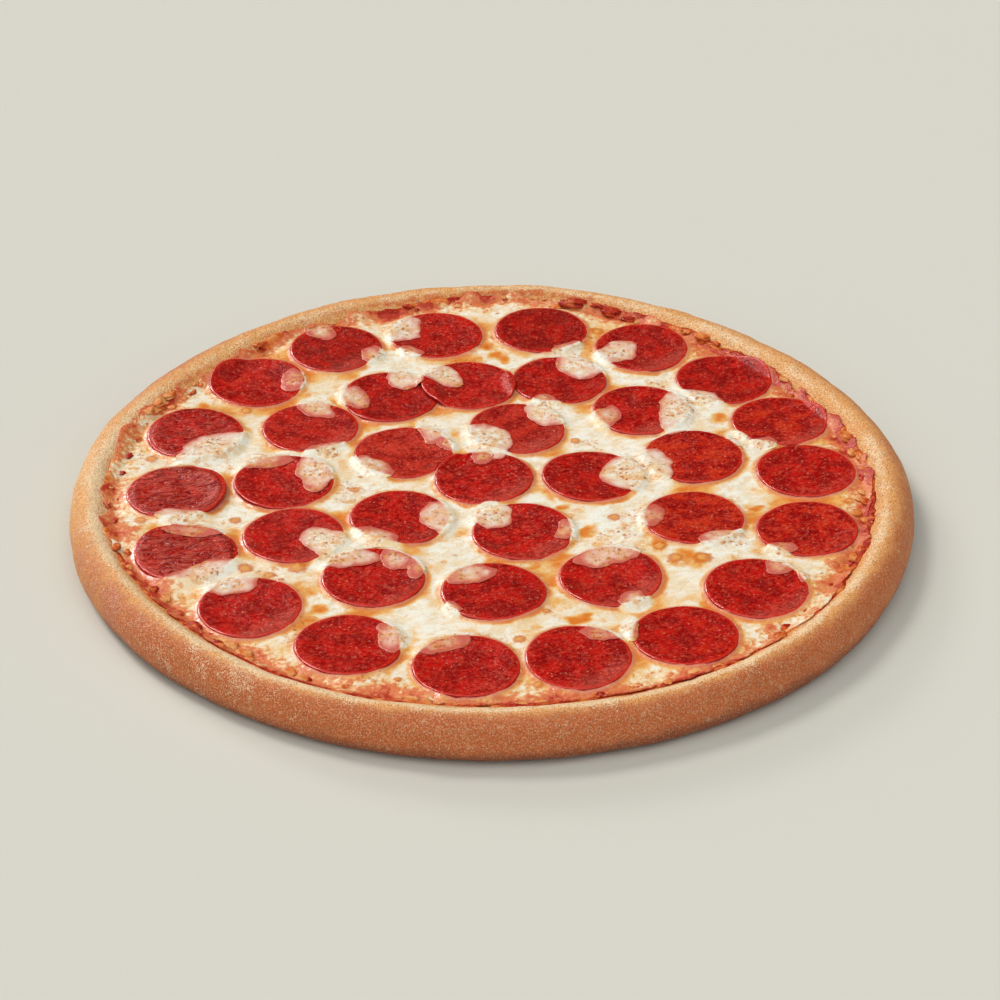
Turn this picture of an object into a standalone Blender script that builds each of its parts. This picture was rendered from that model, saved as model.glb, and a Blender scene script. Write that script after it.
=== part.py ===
"""A whole pepperoni pizza: crust, sauce, cheese, four rings of sliced pepperoni and melted patches."""

import bpy
from math import atan2, cos, exp, hypot, pi, radians, sin

MM = 0.001

# The turned section of the pizza, as radii and heights above the table
PIZZA_RADIUS = 178 * MM
RIM_HEIGHT = 20.2 * MM
CREST_RADIUS = 168 * MM
FOOT_RADIUS = 161 * MM
HOLLOW_RADIUS = 148 * MM
REST_RADIUS = 169 * MM
WIDEST_HEIGHT = 8.5 * MM
DOUGH_HEIGHT = 10 * MM
SAUCE_HEIGHT = 12.2 * MM
SAUCE_EDGE = 0.5 * MM
CHEESE_HEIGHT = 15.5 * MM
CHEESE_EDGE_RADIUS = 155.5 * MM
CHEESE_EDGE_HEIGHT = 15 * MM
CHEESE_EDGE = 0.6 * MM
GAP = 0.3 * MM

# How far the baked pizza strays from the turned one
OUTLINE_DENT = 1.2 * MM
RIM_UNEVENNESS = 0.05
CHEESE_WAVE = 0.25 * MM
CHEESE_RAGGEDNESS = 1.2 * MM
FOOT_BULGES = (
    # bearing and spread in degrees, then how far the rim's foot moves outwards
    (84, 16, 6.5 * MM),
    (142, 14, -3.5 * MM),
    (184, 28, 2.5 * MM),
    (38, 24, -3.0 * MM),
    (246, 18, 2.0 * MM),
    (312, 14, 1.5 * MM),
)

SLICE_RADIUS = 21.2 * MM
SLICE_THICKNESS = 1.5 * MM
SLICE_FLAT = 11 * MM
PATCH_THICKNESS = 0.9 * MM

PIZZA_STEPS = 72
SLICE_STEPS = 18
PATCH_STEPS = 16
SOFT_ANGLE = radians(50)

# Bearing in degrees and distance from the middle of every slice, ring by ring
SLICE_RINGS = {
    "outer": (
        (4.6, 134 * MM), (22.9, 136 * MM), (40.9, 136.5 * MM), (60.2, 136 * MM), (80.6, 136 * MM),
        (101.3, 132 * MM), (121.4, 136 * MM), (140.3, 136 * MM), (162.2, 135 * MM),
        (182.6, 133 * MM), (203.1, 136 * MM), (224.1, 134 * MM), (244.9, 132 * MM),
        (265.8, 134 * MM), (284.9, 132 * MM), (304.1, 136 * MM), (323.3, 133 * MM),
        (345.1, 135 * MM),
    ),
    "inner": (
        (9.6, 43 * MM), (76.9, 47 * MM), (145.3, 46 * MM), (214.2, 46 * MM), (288.9, 39 * MM),
    ),
    "middle": (
        (14.5, 89 * MM), (43.5, 90 * MM), (71.3, 93 * MM), (121.9, 86 * MM), (149.4, 92 * MM),
        (178.7, 88 * MM), (206.2, 91 * MM), (236.3, 86 * MM), (270.6, 82 * MM), (304.5, 85 * MM),
        (342.3, 88 * MM), (97.3, 84 * MM),
    ),
    "centre": ((125, 6 * MM),),
}

# Slices that curl: the bearing of the lifted side in degrees, and how high it stands
CURLS = {
    "pepperoni_outer_09": (300, 1.2 * MM),
    "pepperoni_outer_10": (8, 2.6 * MM),
    "pepperoni_outer_11": (150, 1.6 * MM),
    "pepperoni_middle_06": (200, 1.2 * MM),
}

# Melted cheese on the slices: middle x and y, half length, half width, turn in degrees
PATCHES = (
    (-119 * MM, 29 * MM, 14 * MM, 9 * MM, 34),
    (81 * MM, 60 * MM, 16.5 * MM, 6.5 * MM, 87),
    (-2 * MM, 35 * MM, 13 * MM, 8 * MM, -79),
    (24 * MM, 60 * MM, 9.5 * MM, 7.5 * MM, -80),
    (62 * MM, 11 * MM, 13 * MM, 12 * MM, 60),
    (-100 * MM, 19 * MM, 13 * MM, 5 * MM, 17),
    (-75 * MM, 10 * MM, 13 * MM, 6 * MM, -87),
    (-117 * MM, -68 * MM, 13.5 * MM, 5.5 * MM, 28),
    (47 * MM, -55 * MM, 11 * MM, 5.5 * MM, 19),
    (-42 * MM, 136 * MM, 11 * MM, 7 * MM, -88),
    (-22 * MM, -26 * MM, 10 * MM, 6 * MM, -89),
    (-68 * MM, -46 * MM, 10 * MM, 7.5 * MM, -60),
    (56 * MM, 114 * MM, 9.5 * MM, 6.5 * MM, 57),
    (-9 * MM, -70 * MM, 9 * MM, 5 * MM, 12),
    (-19 * MM, -118 * MM, 9.5 * MM, 4.5 * MM, 21),
    (-23 * MM, 92 * MM, 9 * MM, 6.5 * MM, -41),
    (39 * MM, 100 * MM, 9 * MM, 7 * MM, -33),
    (0, -25 * MM, 8 * MM, 7 * MM, 70),
    (-128 * MM, -27 * MM, 8.5 * MM, 6 * MM, -20),
    (96 * MM, -43 * MM, 8.5 * MM, 5.5 * MM, 28),
)


def clear_scene():
    for thing in list(bpy.data.objects):
        bpy.data.objects.remove(thing)


def principled(name, colour, roughness):
    """A material with one baked colour, given as red, green and blue from 0 to 1."""
    material = bpy.data.materials.new(name)
    material.use_nodes = True
    shader = material.node_tree.nodes["Principled BSDF"]
    shader.inputs["Base Color"].default_value = (*colour, 1)
    shader.inputs["Roughness"].default_value = roughness
    shader.inputs["Metallic"].default_value = 0
    material.diffuse_color = (*colour, 1)
    return material


def smooth_step(share):
    """0 to 1 with level ends, held outside that range."""
    share = min(max(share, 0), 1)
    return share * share * (3 - 2 * share)


# Unevenness of the baked pizza

def foot_radius(bearing):
    """Radius at which the rim rises out of the sauce."""
    radius = FOOT_RADIUS
    for middle, spread, outwards in FOOT_BULGES:
        away = (bearing - radians(middle) + pi) % (2 * pi) - pi
        radius += outwards * exp(-(away / radians(spread)) ** 2)
    return radius


def outline_radius(bearing):
    """Outer radius, full at the four axes and dented between them."""
    return PIZZA_RADIUS - OUTLINE_DENT * sin(2 * bearing) ** 2 * (0.5 + 0.5 * sin(3 * bearing + 1))


def rim_swell(bearing):
    """Factor on every height above the dough at this bearing."""
    return 1 + RIM_UNEVENNESS * (0.6 * sin(3 * bearing + 2) + 0.4 * sin(7 * bearing))


def baked_radius(turned, bearing):
    """Radius in the baked pizza of a point that was turned at a given radius."""
    foot = foot_radius(bearing)
    if turned <= FOOT_RADIUS:
        return turned * foot / FOOT_RADIUS
    share = (turned - FOOT_RADIUS) / (PIZZA_RADIUS - FOOT_RADIUS)
    return foot + share * (outline_radius(bearing) - foot)


def turned_radius(baked, bearing):
    """The other way round: the turned radius of a point of the baked pizza."""
    foot = foot_radius(bearing)
    if baked <= foot:
        return baked * FOOT_RADIUS / foot
    share = (baked - foot) / (outline_radius(bearing) - foot)
    return FOOT_RADIUS + share * (PIZZA_RADIUS - FOOT_RADIUS)


def baked_height(turned, bearing):
    """Height in the baked pizza of a point that was turned at a given height."""
    if turned <= DOUGH_HEIGHT:
        return turned
    return DOUGH_HEIGHT + (turned - DOUGH_HEIGHT) * rim_swell(bearing)


def cheese_wave(x, y):
    """Low swells of the molten cheese."""
    return CHEESE_WAVE * (
        sin(x / (12 * MM) + 1) + sin(y / (14 * MM) + x / (30 * MM) + 2) + sin((x + y) / (17 * MM))
    )


# Heights of the turned layers

def dough_top(radius):
    """Flat in the hollow, then a soft rise to the crest of the rim."""
    share = (radius - HOLLOW_RADIUS) / (CREST_RADIUS - HOLLOW_RADIUS)
    rise = 0.5 - 0.5 * cos(pi * min(max(share, 0), 1))
    return DOUGH_HEIGHT + rise * (RIM_HEIGHT - DOUGH_HEIGHT)


def sauce_top(radius):
    return max(SAUCE_HEIGHT, dough_top(radius) + GAP + SAUCE_EDGE)


def cheese_top(radius):
    """Level, and rounded down over the last few millimetres."""
    fall_start = CHEESE_EDGE_RADIUS - 6 * MM
    share = (radius - fall_start) / (CHEESE_EDGE_RADIUS - fall_start)
    return CHEESE_HEIGHT - max(share, 0) ** 2 * (CHEESE_HEIGHT - CHEESE_EDGE_HEIGHT)


def surface_height(x, y):
    """Top of whatever a slice can lie on: cheese, the sauce's edge or the inside of the rim."""
    bearing = atan2(y, x)
    radius = turned_radius(hypot(x, y), bearing)
    cheese = baked_height(CHEESE_HEIGHT, bearing) + cheese_wave(x, y)
    return max(cheese, baked_height(sauce_top(radius) + GAP + CHEESE_EDGE, bearing))


# Modelling helpers

def turn_profile(name, profile, steps, material):
    """A closed body turned about Z by Screw from a profile that runs down its outer side."""
    mesh = bpy.data.meshes.new(name)
    points = [(radius, 0, height) for radius, height in profile]
    mesh.from_pydata(points, [(i, i + 1) for i in range(len(points) - 1)], [])
    turned = bpy.data.objects.new(name, mesh)
    pizza.objects.link(turned)
    screw = turned.modifiers.new("Screw", "SCREW")
    screw.axis = "Z"
    screw.angle = 2 * pi
    screw.steps = steps
    screw.render_steps = steps
    screw.use_merge_vertices = True
    screw.merge_threshold = 0.00005
    solid = bpy.data.meshes.new_from_object(turned.evaluated_get(bpy.context.evaluated_depsgraph_get()))
    turned.modifiers.remove(screw)
    turned.data = solid
    solid.materials.append(material)
    return turned


def move_points(turned, shape):
    """Send every point through shape(x, y, z), then shade the body smooth."""
    for vertex in turned.data.vertices:
        vertex.co = shape(*vertex.co)
    turned.data.shade_smooth()
    turned.data.set_sharp_from_angle(angle=SOFT_ANGLE)


def arc(middle_radius, middle_height, half_width, half_height, start, end, count):
    """Points of an elliptical arc of the section, from the start angle to the end angle."""
    angles = [radians(start + (end - start) * i / count) for i in range(count + 1)]
    return [
        (middle_radius + half_width * cos(angle), middle_height + half_height * sin(angle))
        for angle in angles
    ]


def bake(x, y, z):
    """Turned point to baked point."""
    bearing = atan2(y, x)
    radius = baked_radius(hypot(x, y), bearing)
    return radius * cos(bearing), radius * sin(bearing), baked_height(z, bearing)


# The three layers

SLOPE_RADII = (HOLLOW_RADIUS, 153 * MM, 157 * MM, FOOT_RADIUS)


def make_crust():
    """Dough with its rim: hollow, inner slope, crest, rounded side and flat underside."""
    inner = [(0, DOUGH_HEIGHT)]
    inner += [(radius, dough_top(radius)) for radius in (*SLOPE_RADII, 164.5 * MM)]
    shoulder = arc(CREST_RADIUS, WIDEST_HEIGHT, PIZZA_RADIUS - CREST_RADIUS,
                   RIM_HEIGHT - WIDEST_HEIGHT, 90, 0, 4)
    side = arc(REST_RADIUS, WIDEST_HEIGHT, PIZZA_RADIUS - REST_RADIUS, WIDEST_HEIGHT, 0, -90, 3)
    crust = turn_profile("crust", inner + shoulder + side[1:] + [(0, 0)], PIZZA_STEPS, crust_colour)
    move_points(crust, bake)


def make_sauce():
    """A thin layer on the dough, whose edge laps up the inside of the rim."""
    top = [(0, SAUCE_HEIGHT)] + [(radius, sauce_top(radius)) for radius in SLOPE_RADII]
    bottom = [(radius, dough_top(radius) + GAP) for radius in (*reversed(SLOPE_RADII), 0)]
    sauce = turn_profile("sauce", top + bottom, PIZZA_STEPS, sauce_colour)
    move_points(sauce, bake)


def make_cheese():
    """A sheet of molten cheese with low swells on top and a ragged edge short of the rim."""
    top_radii = [15 * MM * i for i in range(10)] + [145 * MM, 151 * MM, CHEESE_EDGE_RADIUS]
    bottom_radii = (CHEESE_EDGE_RADIUS, 153 * MM, HOLLOW_RADIUS, 0)
    top = [(radius, cheese_top(radius)) for radius in top_radii]
    bottom = [(radius, sauce_top(radius) + GAP) for radius in bottom_radii]
    cheese = turn_profile("cheese", top + bottom, PIZZA_STEPS, cheese_colour)

    def shape(x, y, z):
        bearing = atan2(y, x)
        turned = hypot(x, y)
        ragged = 0.6 * sin(5 * bearing + 1) + 0.4 * sin(11 * bearing + 2)
        radius = turned + CHEESE_RAGGEDNESS * ragged * (turned / CHEESE_EDGE_RADIUS) ** 8
        floor = sauce_top(radius) + GAP
        x, y, low = bake(radius * cos(bearing), radius * sin(bearing), floor)
        if z < cheese_top(turned) - 0.1 * MM:
            return x, y, low
        return x, y, max(baked_height(z, bearing) + cheese_wave(x, y), low + CHEESE_EDGE)

    move_points(cheese, shape)


# What lies on the cheese

class Laid:
    """A round piece that lies on the cheese and on the pieces laid before it."""

    def __init__(self, name, x, y, radius, thickness, reach, below):
        self.name = name
        self.x = x
        self.y = y
        self.radius = radius
        self.thickness = thickness
        self.reach = reach
        self.below = [
            piece for piece in below if hypot(x - piece.x, y - piece.y) < radius + piece.radius
        ]

    def curl(self, x, y):
        if self.name not in CURLS:
            return 0
        bearing, height = CURLS[self.name]
        along = (x - self.x) * cos(radians(bearing)) + (y - self.y) * sin(radians(bearing))
        return height * max(along / self.radius, 0) ** 2

    def underside(self, x, y):
        """Height at which this piece rests; it clears a lower piece for one mesh step past its edge."""
        surface = surface_height(x, y)
        highest = surface
        for piece in self.below:
            beyond = hypot(x - piece.x, y - piece.y) - piece.radius - self.reach
            share = 1 - smooth_step(beyond / self.reach)
            highest = max(highest, surface + share * (piece.top(x, y) - surface))
        return highest + GAP + self.curl(x, y)

    def top(self, x, y):
        return self.underside(x, y) + self.thickness


def make_slices():
    """Pepperoni, ring by ring, in the order in which the slices overlap."""
    laid = []
    for ring, places in SLICE_RINGS.items():
        for number, (bearing, distance) in enumerate(places, 1):
            name = "pepperoni_" + ring + ("_%02d" % number if len(places) > 1 else "")
            middle_x = distance * cos(radians(bearing))
            middle_y = distance * sin(radians(bearing))
            piece = Laid(name, middle_x, middle_y, SLICE_RADIUS, SLICE_THICKNESS, SLICE_FLAT * 0.75, laid)
            profile = (
                (0, SLICE_THICKNESS), (SLICE_FLAT, SLICE_THICKNESS), (SLICE_RADIUS, SLICE_THICKNESS),
                (SLICE_RADIUS, 0), (SLICE_FLAT, 0), (0, 0),
            )
            slice_object = turn_profile(name, profile, SLICE_STEPS, pepperoni_colour)
            move_points(slice_object, lambda x, y, z: (
                middle_x + x, middle_y + y, piece.underside(middle_x + x, middle_y + y) + z))
            laid.append(piece)
    return laid


def make_patches(slices):
    """Thin lenses of cheese that ran over the slices' edges and onto the cheese beside them."""
    for number, (middle_x, middle_y, half_length, half_width, turn) in enumerate(PATCHES, 1):
        name = "cheese_patch_%02d" % number
        piece = Laid(name, middle_x, middle_y, half_length, PATCH_THICKNESS, 0.34 * half_length, slices)
        profile = (
            (0, PATCH_THICKNESS), (0.4 * half_length, PATCH_THICKNESS),
            (0.75 * half_length, 0.7 * PATCH_THICKNESS), (half_length, 0.1 * PATCH_THICKNESS),
            (0.75 * half_length, 0), (0.4 * half_length, 0), (0, 0),
        )
        patch = turn_profile(name, profile, PATCH_STEPS, cheese_colour)
        along = (cos(radians(turn)), sin(radians(turn)))

        def shape(x, y, z):
            across = y * half_width / half_length
            world_x = middle_x + x * along[0] - across * along[1]
            world_y = middle_y + x * along[1] + across * along[0]
            return world_x, world_y, piece.underside(world_x, world_y) + z

        move_points(patch, shape)


clear_scene()
pizza = bpy.data.collections.new("Pepperoni pizza")
bpy.context.scene.collection.children.link(pizza)
crust_colour = principled("Crust", (0.58, 0.27, 0.11), 0.75)
sauce_colour = principled("Sauce", (0.36, 0.03, 0.01), 0.4)
cheese_colour = principled("Cheese", (0.83, 0.68, 0.42), 0.45)
pepperoni_colour = principled("Pepperoni", (0.38, 0.02, 0.012), 0.4)
make_crust()
make_sauce()
make_cheese()
make_patches(make_slices())
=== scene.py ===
# A whole pepperoni pizza: baked crust, sauce, molten cheese, 36 slices and the cheese that ran over them
from math import cos, pi, radians, sin

import bpy
import numpy as np
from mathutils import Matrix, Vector


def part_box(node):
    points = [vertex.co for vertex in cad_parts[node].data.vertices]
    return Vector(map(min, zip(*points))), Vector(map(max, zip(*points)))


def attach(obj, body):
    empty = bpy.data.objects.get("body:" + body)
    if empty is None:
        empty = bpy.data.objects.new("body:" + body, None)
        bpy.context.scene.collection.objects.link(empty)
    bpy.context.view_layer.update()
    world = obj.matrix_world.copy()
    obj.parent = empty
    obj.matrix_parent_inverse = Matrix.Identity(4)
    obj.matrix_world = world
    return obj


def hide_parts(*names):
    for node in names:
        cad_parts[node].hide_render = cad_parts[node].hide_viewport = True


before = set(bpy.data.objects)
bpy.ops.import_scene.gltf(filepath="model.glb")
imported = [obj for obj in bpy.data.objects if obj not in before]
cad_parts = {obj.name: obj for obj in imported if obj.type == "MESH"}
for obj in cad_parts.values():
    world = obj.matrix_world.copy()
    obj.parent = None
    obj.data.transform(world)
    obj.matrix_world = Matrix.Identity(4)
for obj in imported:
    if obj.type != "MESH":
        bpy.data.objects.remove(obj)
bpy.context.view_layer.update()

mm = 0.001


# How the baked pizza is shaped: the sizes that its solids were made from

form = {
    "radius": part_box("crust")[1].x,
    "rimHeight": 20.2 * mm,
    "crestRadius": 168 * mm,
    "footRadius": 161 * mm,  # where the rim rises out of the sauce
    "hollowRadius": 148 * mm,
    "restRadius": 169 * mm,
    "widestHeight": 8.5 * mm,
    "doughHeight": 10 * mm,
    "sauceHeight": 12.2 * mm,
    "sauceEdge": 0.5 * mm,
    "cheeseHeight": 15.5 * mm,
    "cheeseEdge": 0.6 * mm,
    "gap": 0.3 * mm,
    "outlineDent": 1.2 * mm,
    "rimUnevenness": 0.05,
    "cheeseWave": 0.25 * mm,
    "evenMiddle": 70 * mm,  # the rim's unevenness fades out inside this radius
}
footBulges = (  # bearing and spread in degrees, then how far the rim's foot moves outwards
    (84, 16, 6.5 * mm),
    (142, 14, -3.5 * mm),
    (184, 28, 2.5 * mm),
    (38, 24, -3.0 * mm),
    (246, 18, 2.0 * mm),
    (312, 14, 1.5 * mm),
)


def smoothStep(share):
    share = np.clip(share, 0, 1)
    return share * share * (3 - 2 * share)


def hill(bearing, middle, spread):  # 1 at the middle bearing, fading over the spread, both in degrees
    away = (bearing - radians(middle) + pi) % (2 * pi) - pi
    return np.exp(-(away / radians(spread)) ** 2)


def footAt(bearing):
    return form["footRadius"] + sum(
        out * hill(bearing, middle, spread) for middle, spread, out in footBulges)


def outlineAt(bearing):
    dent = form["outlineDent"] * np.sin(2 * bearing) ** 2
    return form["radius"] - dent * (0.5 + 0.5 * np.sin(3 * bearing + 1))


def bakedRadius(turned, bearing):
    foot = footAt(bearing)
    share = (turned - form["footRadius"]) / (form["radius"] - form["footRadius"])
    inside = turned * foot / form["footRadius"]
    return np.where(share <= 0, inside, foot + share * (outlineAt(bearing) - foot))


def turnedRadius(baked, bearing):
    foot = footAt(bearing)
    share = (baked - foot) / (outlineAt(bearing) - foot)
    inside = baked * form["footRadius"] / foot
    return np.where(share <= 0, inside, form["footRadius"] + share * (form["radius"] - form["footRadius"]))


def bakedHeight(height, bearing):
    swell = 1 + form["rimUnevenness"] * (0.6 * np.sin(3 * bearing + 2) + 0.4 * np.sin(7 * bearing))
    dough = form["doughHeight"]
    return np.minimum(height, dough) + np.maximum(height - dough, 0) * swell


def doughTop(radius):
    share = (radius - form["hollowRadius"]) / (form["crestRadius"] - form["hollowRadius"])
    rise = 0.5 - 0.5 * np.cos(pi * np.clip(share, 0, 1))
    return form["doughHeight"] + rise * (form["rimHeight"] - form["doughHeight"])


def sauceTop(radius):
    return np.maximum(form["sauceHeight"], doughTop(radius) + form["gap"] + form["sauceEdge"])


def layingHeight(x, y):  # what a slice rests on: the cheese or, near the rim, what slopes up to it
    bearing = np.arctan2(y, x)
    turned = turnedRadius(np.hypot(x, y), bearing)
    swells = np.sin(x / (12 * mm) + 1) + np.sin(y / (14 * mm) + x / (30 * mm) + 2)
    swells = swells + np.sin((x + y) / (17 * mm))
    level = form["cheeseHeight"]
    outwards = smoothStep(np.hypot(x, y) / form["evenMiddle"])
    bed = level + outwards * (bakedHeight(level, bearing) - level) + form["cheeseWave"] * swells
    slope = bakedHeight(sauceTop(turned) + form["gap"] + form["cheeseEdge"], bearing)
    return np.maximum(bed, slope)


def alongAcross(x, y, angle):  # how far a place is along a direction, and how far to its left
    return x * cos(angle) + y * sin(angle), y * cos(angle) - x * sin(angle)


# Unevenness, the same at every run

def softNoise(x, y, size, seed):  # 0 to 1, with lumps about one size across
    lattice = np.random.default_rng(seed).random((64, 64))
    across, along = x / size + 7.3 * seed, y / size + 3.1 * seed
    column, row = np.floor(across).astype(int), np.floor(along).astype(int)
    right, up = smoothStep(across - column), smoothStep(along - row)
    corners = [[lattice[(column + i) % 64, (row + j) % 64] for i in (0, 1)] for j in (0, 1)]
    near, far = [low * (1 - right) + high * right for low, high in corners]
    return near * (1 - up) + far * up


def layeredNoise(x, y, size, seed):  # about -1 to 1, with two finer layers on the first
    layers = [(2 * softNoise(x, y, size / 2 ** i, seed + i) - 1) / 2 ** i for i in range(3)]
    return sum(layers) / 1.3


# Modelling

def startFresh():
    if bpy.context.object and bpy.context.object.mode != "OBJECT":
        bpy.ops.object.mode_set(mode="OBJECT")
    bpy.ops.object.select_all(action="DESELECT")


def editFaces(piece, chosen):  # edit mode with the chosen faces selected and nothing else
    bpy.context.view_layer.objects.active = piece
    piece.select_set(True)
    bpy.context.tool_settings.mesh_select_mode = (False, False, True)
    bpy.ops.object.mode_set(mode="EDIT")
    bpy.ops.mesh.select_all(action="DESELECT")
    bpy.ops.object.mode_set(mode="OBJECT")
    piece.data.polygons.foreach_set("select", chosen)
    bpy.ops.object.mode_set(mode="EDIT")


def turnedPiece(name, section, segments):  # a closed round piece, its cap extruded from point to point
    startFresh()
    radius, height = section[0]
    bpy.ops.mesh.primitive_circle_add(
        vertices=segments, radius=radius, fill_type="NGON", location=(0, 0, height))
    piece = bpy.context.object
    piece.name = piece.data.name = name
    bpy.ops.object.transform_apply(location=True, rotation=False, scale=False)
    bpy.ops.object.mode_set(mode="EDIT")
    bpy.ops.mesh.select_all(action="SELECT")
    for nextRadius, nextHeight in section[1:]:
        bpy.ops.mesh.extrude_region_move(TRANSFORM_OT_translate={"value": (0, 0, nextHeight - height)})
        scale = nextRadius / radius
        bpy.ops.transform.resize(value=(scale, scale, 1), center_override=(0, 0, nextHeight))
        radius, height = nextRadius, nextHeight
    bpy.ops.mesh.poke()
    bpy.ops.mesh.select_all(action="SELECT")
    bpy.ops.mesh.normals_make_consistent(inside=False)
    bpy.ops.object.mode_set(mode="OBJECT")
    return piece


def copyOf(master, name):
    piece = master.copy()
    piece.data = master.data.copy()
    piece.name = piece.data.name = name
    bpy.context.collection.objects.link(piece)
    return piece


def pointsOf(piece):
    places = np.empty(3 * len(piece.data.vertices))
    piece.data.vertices.foreach_get("co", places)
    return places.reshape(-1, 3)


def normalsOf(piece):
    directions = np.empty(3 * len(piece.data.vertices))
    piece.data.vertices.foreach_get("normal", directions)
    return directions.reshape(-1, 3)


def putPoints(piece, places):
    piece.data.vertices.foreach_set("co", np.ascontiguousarray(places).ravel())
    piece.data.update()


def facesOf(piece, chosenPoints):  # which faces have all their points among the chosen ones
    corners = np.empty(len(piece.data.loops), int)
    piece.data.loops.foreach_get("vertex_index", corners)
    starts = np.empty(len(piece.data.polygons), int)
    piece.data.polygons.foreach_get("loop_start", starts)
    return np.logical_and.reduceat(chosenPoints[corners], starts)


def paintPoints(piece, **paints):
    for name, values in paints.items():
        paint = piece.data.attributes.new(name, "FLOAT", "POINT").data
        paint.foreach_set("value", np.broadcast_to(values, len(paint)).astype(np.float32))


def joined(pieces, name):
    startFresh()
    for piece in pieces:
        piece.select_set(True)
    bpy.context.view_layer.objects.active = pieces[0]
    bpy.ops.object.join()
    pieces[0].name = pieces[0].data.name = name
    return pieces[0]


def finishPiece(piece, material, slot, *nodes):
    piece.data.materials.clear()
    piece.data.materials.append(material)
    piece.data.shade_smooth()
    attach(piece, "root")
    if nodes:
        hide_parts(*nodes)


def arcPoints(middleRadius, middleHeight, halfWidth, halfHeight, start, end, steps):
    angles = np.radians(np.linspace(start, end, steps + 1))
    return [(middleRadius + halfWidth * cos(a), middleHeight + halfHeight * sin(a)) for a in angles]


def bake(places):  # from the turned shape to the baked one
    x, y, z = places.T
    bearing = np.arctan2(y, x)
    radius = bakedRadius(np.hypot(x, y), bearing)
    return np.column_stack((radius * np.cos(bearing), radius * np.sin(bearing), bakedHeight(z, bearing)))


# Shader maths: a socket that takes part in Python sums, and the one way in which a node is made

class Wire:
    def __init__(self, tree, socket):
        self.tree = tree
        self.socket = socket

    def node(self, kind, settings=None, inputs=None, output=0):
        made = self.tree.nodes.new(kind)
        for key, value in (settings or {}).items():
            setattr(made, key, value)
        for key, value in (inputs or {}).items():
            if isinstance(value, Wire):
                self.tree.links.new(value.socket, made.inputs[key])
            else:
                made.inputs[key].default_value = value
        return Wire(self.tree, made.outputs[output])

    def maths(self, operation, first, second):
        return self.node("ShaderNodeMath", {"operation": operation}, {0: first, 1: second})

    def __add__(self, other):
        return self.maths("ADD", self, other)

    def __radd__(self, other):
        return self.maths("ADD", other, self)

    def __sub__(self, other):
        return self.maths("SUBTRACT", self, other)

    def __rsub__(self, other):
        return self.maths("SUBTRACT", other, self)

    def __mul__(self, other):
        return self.maths("MULTIPLY", self, other)

    def __rmul__(self, other):
        return self.maths("MULTIPLY", other, self)


def srgb(red, green, blue):  # a colour as it is read off a screen, 0 to 255
    shares = [value / 255 for value in (red, green, blue)]
    return (*[s / 12.92 if s < 0.04045 else ((s + 0.055) / 1.055) ** 2.4 for s in shares], 1)


def newMaterial(name, **constants):
    material = bpy.data.materials.new(name)
    material.use_nodes = True
    tree = material.node_tree
    shader = tree.nodes["Principled BSDF"]
    for key, value in constants.items():
        shader.inputs[key].default_value = value
    place = Wire(tree, None).node("ShaderNodeTexCoord", output="Object")
    return material, shader, place


def feed(shader, **wires):
    names = {"colour": "Base Color", "roughness": "Roughness", "normal": "Normal", "coat": "Coat Weight"}
    for key, wire in wires.items():
        wire.tree.links.new(wire.socket, shader.inputs[names[key]])


def layers(place, *names):  # what was painted on the points under each name
    return [place.node("ShaderNodeAttribute", {"attribute_name": name}, output="Fac") for name in names]


def noise(place, size, detail=2, roughness=0.5, distortion=0):  # lumps about one size across
    return place.node("ShaderNodeTexNoise", inputs={
        "Vector": place, "Scale": 1 / size, "Detail": detail,
        "Roughness": roughness, "Distortion": distortion})


def between(value, low, high):  # 0 below low, 1 above high and soft in between
    return value.node("ShaderNodeMapRange", {"interpolation_type": "SMOOTHSTEP"}, {
        "Value": value, "From Min": low, "From Max": high})


def stretched(place, length, turn):  # drawn out to so many times its length, along the turned direction
    return place.node("ShaderNodeMapping", {"vector_type": "TEXTURE"}, {
        "Vector": place, "Rotation": (0, 0, radians(turn)), "Scale": (length, 1, 1)})


def painted(palette, first, *coats):  # each coat is how much of it there is, and its colour's name
    colour = palette[first]
    for share, name in coats:
        colour = share.node("ShaderNodeMix", {"data_type": "RGBA"}, {
            0: share, 6: colour, 7: palette[name]}, output=2)
    return colour


def dots(place, size, inner, outer, rare, common, ragged=0):  # soft round dots, where their number is high
    distance = place.node("ShaderNodeTexVoronoi", inputs={
        "Vector": place, "Scale": 1 / size}, output="Distance")
    own = Wire(place.tree, distance.socket.node.outputs["Color"])
    number = own.node("ShaderNodeSeparateColor", inputs={0: own})
    return (1 - between(distance + ragged, inner, outer)) * between(number, rare, common)


def bump(height, depth, normal=None):  # height is 0 to 1
    inputs = {"Height": height, "Distance": depth, "Strength": 1}
    if normal:
        inputs["Normal"] = normal
    return height.node("ShaderNodeBump", inputs=inputs)


# Crust

crust = {
    "segments": 720,
    "sideSteps": 12,
    "shoulderSteps": 14,
    "slopeSteps": 18,
    "swelling": 0.45 * mm,
    "swellingSize": 17 * mm,
    "lumps": 0.16 * mm,
    "lumpSize": 4.5 * mm,
    "cream": srgb(252, 224, 178),
    "golden": srgb(240, 172, 98),
    "brown": srgb(204, 106, 54),
    "dark": srgb(138, 58, 28),
    "rosy": srgb(216, 140, 112),
    "stained": srgb(222, 104, 34),
}


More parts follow.
